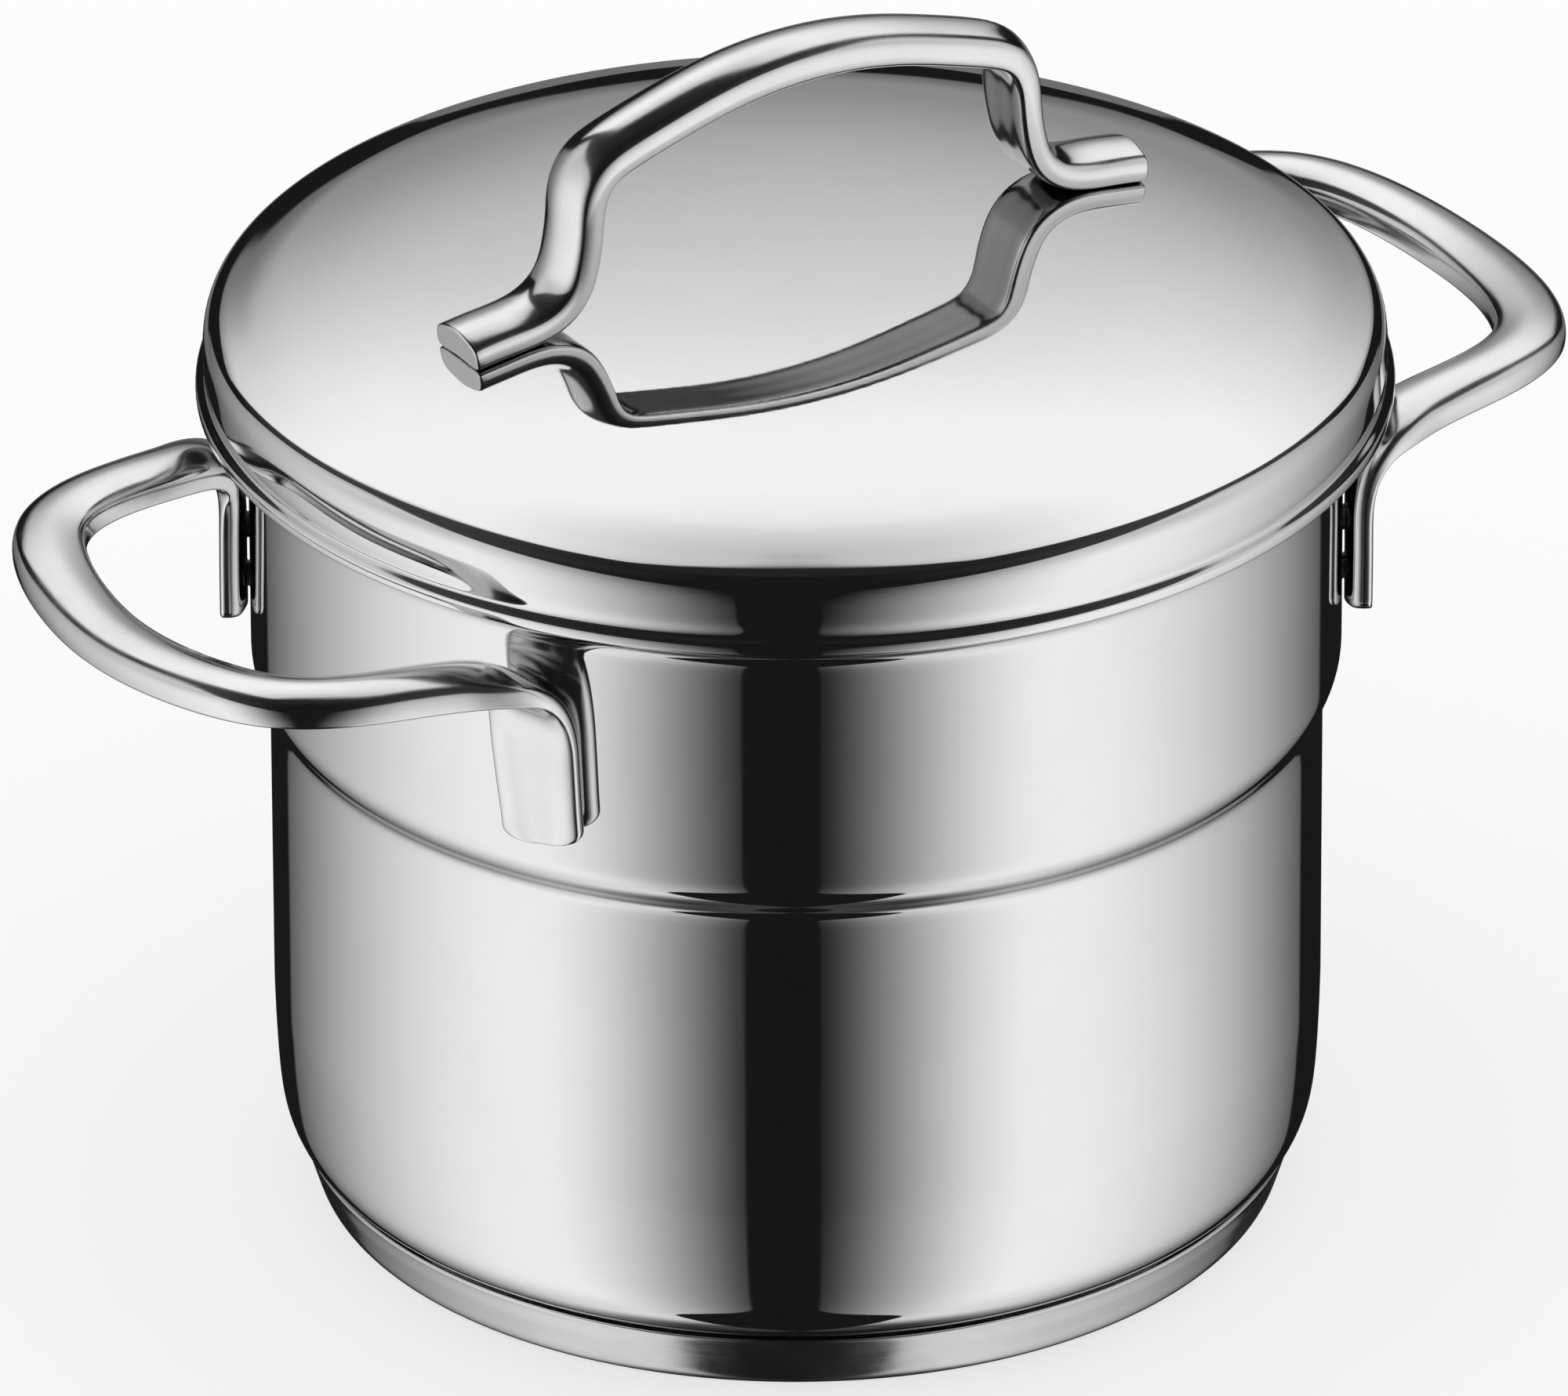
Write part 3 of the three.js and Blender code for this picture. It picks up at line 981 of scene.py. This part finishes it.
@dataclass(frozen=True)
class Lid:
    """Domed lid with an upright skirt and a rim bead over the pot's lip, and its arched handle."""

    sheet: float = 0.8
    flange_radius: float = 66.53
    flange_height: float = 97.36
    skirt_radius: float = 65.93
    shoulder_width: float = 3.9
    shoulder_height: float = 9.82
    dome_rise: float = 7.27
    bowl_share: float = 0.536
    edge_power: float = 5.3
    dome_steps: int = 12
    bar_width: float = 8.7
    foot_thickness: float = 3.7
    bar_thickness: float = 4.3
    foot_standoff: float = 0.1
    foot_end: float = 43.9
    foot_root: float = 0.8
    arch_height: float = 138.25
    weld_reaches: Pair = (0.86, 0.95)
    weld_radius: float = 1.5

    @property
    def dome_radius(self) -> float:
        """Radius where the dome meets the shoulder."""
        return self.skirt_radius - self.shoulder_width

    def build(self, shop: Workshop) -> None:
        """Make and dress the lid, its handle and the handle's welds.

        Args:
            shop: Makes the pieces.
        """
        shell = turned_mesh("lid_shell_sheet", soften(self.outline()))
        shop.place(shell, MIRROR_LID, "lid", "lid_shell", "lid")
        bar = BentBar(self.stations(), EndForm.CUT).mesh("lid_handle_bar")
        shop.place(bar, SATIN_LID_BAR_SHADED, "lid", "lid_handle", "lid_bar")
        bead = WeldBead(self.weld_radius, self.foot_standoff)
        spots = [(side, share * self.foot_end) for side in (1, -1) for share in self.weld_reaches]
        for number, (side, reach) in enumerate(spots, 1):
            slope = (self.dome_height(reach + 1) - self.dome_height(reach - 1)) / 2
            centre = Vector((reach * side, 0, self.dome_height(reach) + self.foot_standoff / 2))
            mesh = bead.mesh(f"lid_weld_{number}_bead", centre, Vector((-slope * side, 0, 1)))
            shop.place(mesh, WELD_STEEL, "lid", f"lid_weld_{number}", "weld")

    def dome_height(self, radius: float) -> float:
        """Height of the dome's outside: a shallow bowl that falls away near the shoulder.

        Args:
            radius: Distance from the pot's axis.

        Returns:
            The height.
        """
        share = radius / self.dome_radius
        fall = self.bowl_share * share**2 + (1 - self.bowl_share) * share**self.edge_power
        top = self.flange_height + self.shoulder_height + self.dome_rise
        return top - self.dome_rise * fall

    def dome(self, shares: Sequence[float], below: float = 0.0) -> Outline:
        """Controls on the dome, at shares of its radius."""
        radii = [share * self.dome_radius for share in shares]
        return [(radius, self.dome_height(radius) - below) for radius in radii]

    def outline(self) -> Outline:
        """Closed outline of the lid: inside, rim bead, skirt, shoulder and dome.

        Returns:
            Control points of radius and height.
        """
        skirt, low = self.skirt_radius, self.flange_height
        shares = [i / self.dome_steps for i in range(self.dome_steps)]
        inside = [(-2.6, 8.7), (-0.9, 7.5), (-0.1, 6.0), (-0.15, 4.2), (-0.2, 2.3), (-0.6, 1.4)]
        inside += [(-0.8, 0.55)]
        hem = [(-0.1, 0.62), (0.14, 0.08), (0.34, 0)]
        bead = [(0.7, 0.0), (0.94, 0.14), (1.0, 0.42), (1.0, 0.78), (0.96, 1.06), (0.82, 1.25)]
        bead += [(0.5, 1.4), (0.16, 1.53), (-0.18, 1.66), (-0.5, 1.79), (-0.66, 1.95), (-0.7, 2.2)]
        bead += [(-0.62, 2.6), (-0.48, 3.1), (-0.4, 3.8), (-0.42, 5.2)]
        shoulder = [(-0.3, 6.4), (-0.45, 7.4), (-0.9, 8.3), (-1.5, 8.85), (-2.4, 9.24)]
        flange = self.flange_radius - skirt
        return [
            *self.dome(shares, self.sheet),
            *bend(skirt - self.sheet, low, inside),
            *bend(skirt, low, hem),
            *bend(skirt, low, [(out * flange, up) for out, up in bead]),
            *bend(skirt, low, shoulder),
            *self.dome([1.0, 0.97, 0.94, *reversed(shares)]),
        ]

    def foot_height(self, reach: float) -> float:
        """Height of the middle of a foot's section."""
        return self.dome_height(reach) + self.foot_standoff + self.foot_thickness / 2

    def station(self, reach: float, height: float, bar_share: float) -> Station:
        """Station of the handle, in its upright plane."""
        thickness = self.foot_thickness + (self.bar_thickness - self.foot_thickness) * bar_share
        return Station((reach, 0, height), self.bar_width, thickness, (0, -1, 0))

    def stations(self) -> list[Station]:
        """Stations from one foot's end over the arch to the other.

        Returns:
            The stations in order.
        """
        arch = [(0.765, 0.03, 0.2), (0.706, 0.12, 0.4), (0.677, 0.26, 0.6), (0.664, 0.43, 0.6)]
        arch += [(0.652, 0.592, 0.8), (0.613, 0.716, 1), (0.535, 0.794, 1), (0.417, 0.866, 1)]
        arch += [(0.274, 0.94, 1), (0.137, 0.985, 1), (0, 1, 1)]
        feet = [share * self.foot_end for share in (1.0, 0.915, 0.835)]
        half = [self.station(reach, self.foot_height(reach), 0) for reach in feet]
        root = self.foot_height(self.foot_root * self.foot_end)
        for share, rise, bar_share in arch:
            height = root + (self.arch_height - root) * rise
            half.append(self.station(share * self.foot_end, height, bar_share))
        return half + [station.mirrored((-1, 1, 1)) for station in half[-2::-1]]


# Studio


@dataclass(frozen=True)
class PhotoCamera:
    """Long lens at the photograph's place, turned round the pot from the front."""

    image_width: float = 2000.0
    focal: float = 31170.0
    sensor_width: float = 36.0
    far_clip: float = 100000.0
    ground_range: float = 2417.65
    height: float = 1322.7
    bearing: float = -32.0
    pitch: float = 27.6206
    yaw: float = -0.0331
    roll: float = -0.232

    def build(self) -> None:
        """Make the camera and give it to the scene."""
        data = bpy.data.cameras.new("photo_camera")
        data.sensor_fit = "HORIZONTAL"
        data.sensor_width = self.sensor_width
        data.lens = self.focal / self.image_width * self.sensor_width
        data.clip_end = self.far_clip * MM
        camera = bpy.data.objects.new("photo_camera", data)
        bpy.context.scene.collection.objects.link(camera)
        pitch, yaw, roll = (math.radians(angle) for angle in (self.pitch, self.yaw, self.roll))
        flat = math.cos(pitch)
        ahead = Vector((math.sin(yaw) * flat, math.cos(yaw) * flat, -math.sin(pitch)))
        level = Vector((math.cos(yaw), -math.sin(yaw), 0))
        upright = level.cross(ahead)
        right = level * math.cos(roll) + upright * math.sin(roll)
        up = upright * math.cos(roll) - level * math.sin(roll)
        pose = Matrix((right, up, -ahead)).transposed().to_4x4()
        pose.translation = Vector((0, -self.ground_range, self.height)) * MM
        camera.matrix_world = Matrix.Rotation(math.radians(self.bearing), 4, "Z") @ pose
        bpy.context.scene.camera = camera


@dataclass(frozen=True)
class SideLights:
    """Two tall lights, brightest a little in front of square, with a gap in front and behind."""

    climb: Pair = (4.0, 58.0)
    climb_drift: float = 0.2
    climb_level: float = -27.0
    fall: Pair = (60.0, 170.0)
    dim_rise: Pair = (-5.0, 45.0)
    dim_turn: Pair = (80.0, 125.0)
    dim_most: float = 0.38
    dim_behind: float = -0.8
    gap_left: Pair = (-12.0, -11.0)
    gap_right: Pair = (4.5, 5.5)
    spread: float = 28.0
    spread_rise: Pair = (-62.0, -44.0)
    end_rise: Pair = (-5.0, 20.0)
    ends: Pair = (148.0, 130.0)
    end_edge: Pair = (-1.0, 1.0)
    top: float = 51.0
    top_turn: float = 0.82
    top_edge: Pair = (-2.0, 2.0)
    low_rise: Pair = (-62.0, -40.0)
    low_level: float = 0.8
    foot_rise: Pair = (-80.0, -64.0)
    foot_level: float = 0.06

    def brightness(self, graph: Graph, ray: Sequence[Socket]) -> Socket:
        """Brightness of both lights.

        Args:
            graph: The world's nodes.
            ray: Its bearing from the camera, its turn from the front gap and its rise.

        Returns:
            The brightness.
        """
        bearing, turn, rise = ray
        start = -self.climb_drift * self.climb_level
        drift = graph.math("MULTIPLY_ADD", rise, self.climb_drift, start)
        high = graph.ease(rise, self.dim_rise, 0.0, self.dim_most)
        dim = graph.product(high, graph.ease(turn, self.dim_turn, 1.0, self.dim_behind))
        spread = graph.ease(rise, self.spread_rise, self.spread, 0.0)
        left = graph.ease(graph.math("ADD", bearing, spread), self.gap_left, 1.0, 0.0)
        right = graph.ease(graph.math("SUBTRACT", bearing, spread), self.gap_right)
        end = graph.ease(rise, self.end_rise, *self.ends)
        curve = graph.math("SINE", graph.product(turn, math.radians(self.top_turn)))
        over = graph.math("SUBTRACT", rise, graph.product(curve, self.top))
        return graph.product(
            graph.ease(graph.math("SUBTRACT", turn, drift), self.climb),
            graph.ease(turn, self.fall, 1.0, 0.0),
            graph.math("SUBTRACT", 1.0, dim),
            graph.math("MAXIMUM", left, right),
            graph.ease(graph.math("SUBTRACT", turn, end), self.end_edge, 1.0, 0.0),
            graph.ease(over, self.top_edge, 1.0, 0.0),
            graph.ease(rise, self.low_rise, self.low_level),
            graph.ease(rise, self.foot_rise, self.foot_level),
        )


@dataclass(frozen=True)
class BackLight:
    """Wide light behind and above, fading to the horizon, with a dim strip below a dark line."""

    fade_rise: Pair = (6.0, 46.0)
    fade_levels: Pair = (0.28, 1.03)
    ceiling_rise: Pair = (52.0, 92.0)
    foot_turn: Pair = (150.0, 174.0)
    foot_lift: float = 22.0
    foot_rise: Pair = (0.0, 6.0)
    foot_level: float = 0.5
    foot_edge: Pair = (-0.5, 0.5)
    top: Pair = (69.5, 71.5)
    strip_bottom: Pair = (-24.0, -20.0)
    strip_top: Pair = (-8.0, -7.0)
    strip_level: float = 0.15
    edge: Pair = (142.0, 145.0)

    def brightness(self, graph: Graph, ray: Sequence[Socket]) -> Socket:
        """Brightness of the light and the strip.

        Args:
            graph: The world's nodes.
            ray: Its bearing, turn and rise.

        Returns:
            The brightness.
        """
        _, turn, rise = ray
        lift = graph.ease(turn, self.foot_turn, self.foot_lift, 0.0)
        above = graph.math("SUBTRACT", rise, lift)
        light = graph.product(
            graph.ease(rise, self.fade_rise, *self.fade_levels),
            graph.ease(rise, self.ceiling_rise, 1.0, 0.0),
            graph.ease(above, self.foot_rise, self.foot_level),
            graph.ease(above, self.foot_edge),
            graph.ease(rise, self.top, 1.0, 0.0),
        )
        lower = graph.ease(rise, self.strip_bottom)
        upper = graph.ease(rise, self.strip_top, self.strip_level, 0.0)
        both = graph.math("MAXIMUM", light, graph.product(lower, upper))
        return graph.product(both, graph.ease(turn, self.edge))


@dataclass(frozen=True)
class Spill:
    """Faint light in the dark gaps, a little more above the side lights."""

    level: float = 0.01
    most: float = 0.045
    turn_span: Pair = (10.0, 115.0)
    rise_span: Pair = (20.0, 45.0)
    ceiling_rise: Pair = (52.0, 74.0)
    ceiling_share: float = 0.2

    def brightness(self, graph: Graph, ray: Sequence[Socket]) -> Socket:
        """Brightness of the faint light.

        Args:
            graph: The world's nodes.
            ray: Its bearing, turn and rise.

        Returns:
            The brightness.
        """
        _, turn, rise = ray
        ceiling = graph.ease(rise, self.ceiling_rise, 1.0, self.ceiling_share)
        above = graph.product(graph.ease(rise, self.rise_span), ceiling)
        aside = graph.ease(turn, self.turn_span, 0.0, self.most)
        return graph.math("MULTIPLY_ADD", above, aside, self.level)


@dataclass(frozen=True)
class Studio:
    """White sweep with soft lights that only mirrors see, and a pale floor."""

    facing: float = -122.0
    level: float = 1.1
    side_shift: float = 2.0
    floor_size: float = 8000.0
    floor_grey: float = 0.95
    floor_glow: float = 0.6

    def build(self) -> None:
        """Light the scene and lay the floor."""
        bpy.context.scene.view_settings.view_transform = "Standard"
        self._world()
        self._floor()

    def _world(self) -> None:
        """Build the light that surrounds the pot."""
        world = bpy.data.worlds.new("studio")
        world.use_nodes = True
        world.cycles.sampling_method = "NONE"
        world.node_tree.nodes.clear()
        graph = Graph(world.node_tree)
        path = graph.add("ShaderNodeLightPath").outputs
        direction = graph.add("ShaderNodeTexCoord").outputs["Generated"]
        values = {"Vector": direction, "Angle": math.radians(-self.facing)}
        turned = graph.add("ShaderNodeVectorRotate", values, rotation_type="Z_AXIS").outputs[0]
        x, y, z = graph.add("ShaderNodeSeparateXYZ", {0: turned}).outputs
        bearing = graph.math("DEGREES", graph.math("ARCTAN2", y, x))
        rise = graph.math("DEGREES", graph.math("ARCSINE", z))
        turn = graph.math("ABSOLUTE", graph.math("ADD", bearing, self.side_shift))
        parts = (SideLights(), BackLight(), Spill())
        sides, back, spill = (part.brightness(graph, (bearing, turn, rise)) for part in parts)
        light = graph.math("ADD", graph.math("MAXIMUM", sides, back), spill)
        plain = graph.math("MAXIMUM", path["Is Camera Ray"], path["Is Diffuse Ray"])
        values = {0: plain, 2: graph.product(light, self.level), 3: 1.0}
        strength = graph.add("ShaderNodeMix", values).outputs[0]
        values = {"Color": (*grey(1.0), 1.0), "Strength": strength}
        sky = graph.add("ShaderNodeBackground", values)
        graph.add("ShaderNodeOutputWorld", {"Surface": sky.outputs[0]})
        bpy.context.scene.world = world

    def _floor(self) -> None:
        """Lay the pale floor, which keeps the pot's shadow."""
        half = self.floor_size / 2 * MM
        corners = [(-half, -half, 0), (half, -half, 0), (half, half, 0), (-half, half, 0)]
        mesh = finished_mesh("floor", corners, [(0, 1, 2, 3)], [(0, 0), (1, 0), (1, 1), (0, 1)])
        floor = bpy.data.objects.new("floor", mesh)
        bpy.context.scene.collection.objects.link(floor)
        floor.visible_glossy = False
        made, graph = bare_material("pale_floor")
        matt = graph.add("ShaderNodeBsdfDiffuse", {"Color": (*grey(self.floor_grey), 1.0)})
        glow = graph.add("ShaderNodeEmission")
        seen = graph.add("ShaderNodeLightPath").outputs["Is Camera Ray"]
        share = graph.product(seen, self.floor_glow)
        values = {0: share, 1: matt.outputs[0], 2: glow.outputs[0]}
        mix = graph.add("ShaderNodeMixShader", values)
        graph.add("ShaderNodeOutputMaterial", {"Surface": mix.outputs[0]})
        mesh.materials.append(made)


def main() -> None:
    """Build the pot, its handles, the lid and the studio."""
    logging.basicConfig(level=logging.INFO, format="%(name)s: %(message)s")
    PhotoCamera().build()
    Studio().build()
    shop = Workshop()
    Pot().build(shop)
    for side in Side:
        SideHandle(side).build(shop)
    Lid().build(shop)


if __name__ == "__main__":
    main()
